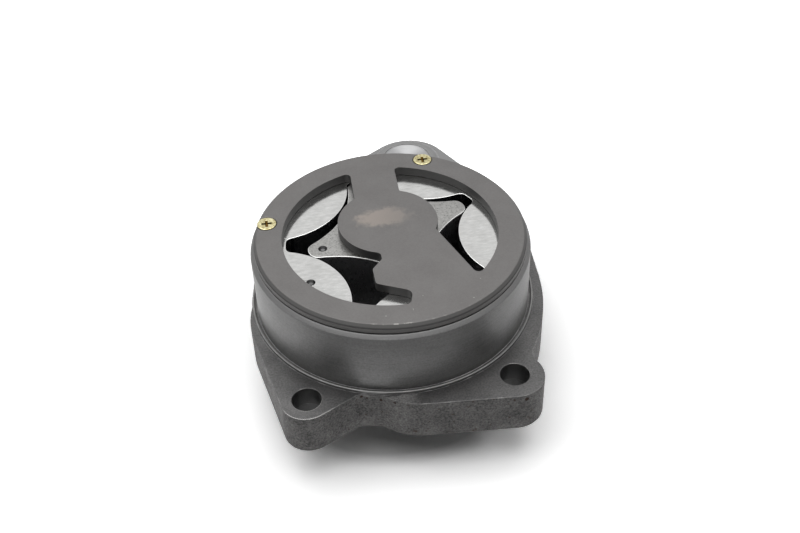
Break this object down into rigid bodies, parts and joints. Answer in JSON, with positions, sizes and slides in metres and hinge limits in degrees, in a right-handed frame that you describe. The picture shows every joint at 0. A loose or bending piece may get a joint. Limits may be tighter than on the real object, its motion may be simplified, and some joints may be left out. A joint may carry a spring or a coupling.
{
  "type": "gerotor engine oil pump",
  "caption": "Round gerotor oil pump with a windowed cover plate, a bolt-on flange and a meshed drive and idler gear underneath.",
  "frame": {"origin": "on the pilot's axis, level with the machined flange face", "axes": "+Z along the pilot, towards the cover plate; -Y towards the two front bolt ears; +Y towards the idler gear"},
  "size_m": [0.0975, 0.1445, 0.0562],
  "materials": {
    "cast_body": "satin",
    "plate": "satin",
    "screw": "gloss",
    "rotor_steel": "satin",
    "shaft_steel": "gloss",
    "gear_steel": "satin",
    "bronze": "satin",
    "spring_steel": "satin"
  },
  "bodies": {
    "housing": {"pump_body": "cast_body", "cover_plate": "plate", "cover_screws": "screw", "upper_shaft_bush": "bronze", "lower_shaft_bush": "bronze", "drive_thrust_washer": "bronze", "idler_shaft": "shaft_steel", "idler_thrust_washer": "bronze", "idler_lower_washer": "bronze", "idler_retaining_ring": "spring_steel", "drill_plug": "spring_steel"},
    "drive_line": {"drive_shaft": "shaft_steel", "inner_rotor": "rotor_steel", "rotor_pin": "shaft_steel", "drive_gear": "gear_steel", "drive_key": "shaft_steel", "drive_retaining_ring": "spring_steel"},
    "rotor_ring": {"outer_rotor": "rotor_steel"},
    "idler": {"idler_gear": "gear_steel", "idler_bush": "bronze"}
  },
  "joints": [
    {"name": "drive_spin", "type": "hinge", "parent": "housing", "child": "drive_line", "pos_m": [0, 0.00556, 0], "axis": [0, 0, 1], "continuous": true},
    {"name": "ring_spin", "type": "hinge", "parent": "housing", "child": "rotor_ring", "pos_m": [0, 0, 0], "axis": [0, 0, 1], "continuous": true},
    {"name": "idler_spin", "type": "hinge", "parent": "housing", "child": "idler", "pos_m": [0.01414, 0.0649, 0], "axis": [0, 0, 1], "continuous": true}
  ],
  "couplings": [
    {"joint": "ring_spin", "follows": "drive_spin", "ratio": 0.8},
    {"joint": "idler_spin", "follows": "drive_spin", "ratio": -1.44}
  ]
}
